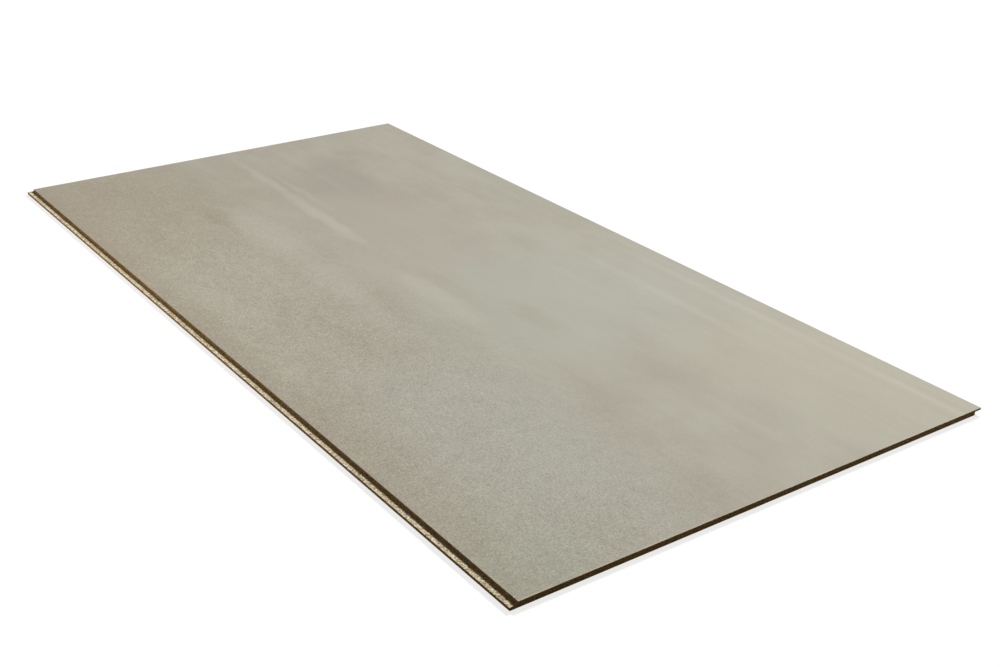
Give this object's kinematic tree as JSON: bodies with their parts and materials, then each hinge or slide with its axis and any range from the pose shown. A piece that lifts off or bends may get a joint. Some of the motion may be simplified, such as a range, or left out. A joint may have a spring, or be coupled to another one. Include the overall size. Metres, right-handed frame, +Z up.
{
  "type": "particle board sheet",
  "caption": "Flat sanded particle board sheet with half-lapped long edges and square sawn ends, for lining floors, walls or ceilings.",
  "frame": {"origin": "middle of the underside, under the centre of the sheet's outline (flange to lip, end to end)", "axes": "+X across the sheet from the flange edge to the lip edge, +Y along its length, +Z up through its thickness to the top face"},
  "size_m": [1.218, 2.4, 0.012],
  "materials": {
    "chipboard": "sanded matt face, raw milled and sawn edges"
  },
  "bodies": {
    "root": {"particle_board": "chipboard"}
  },
  "joints": []
}
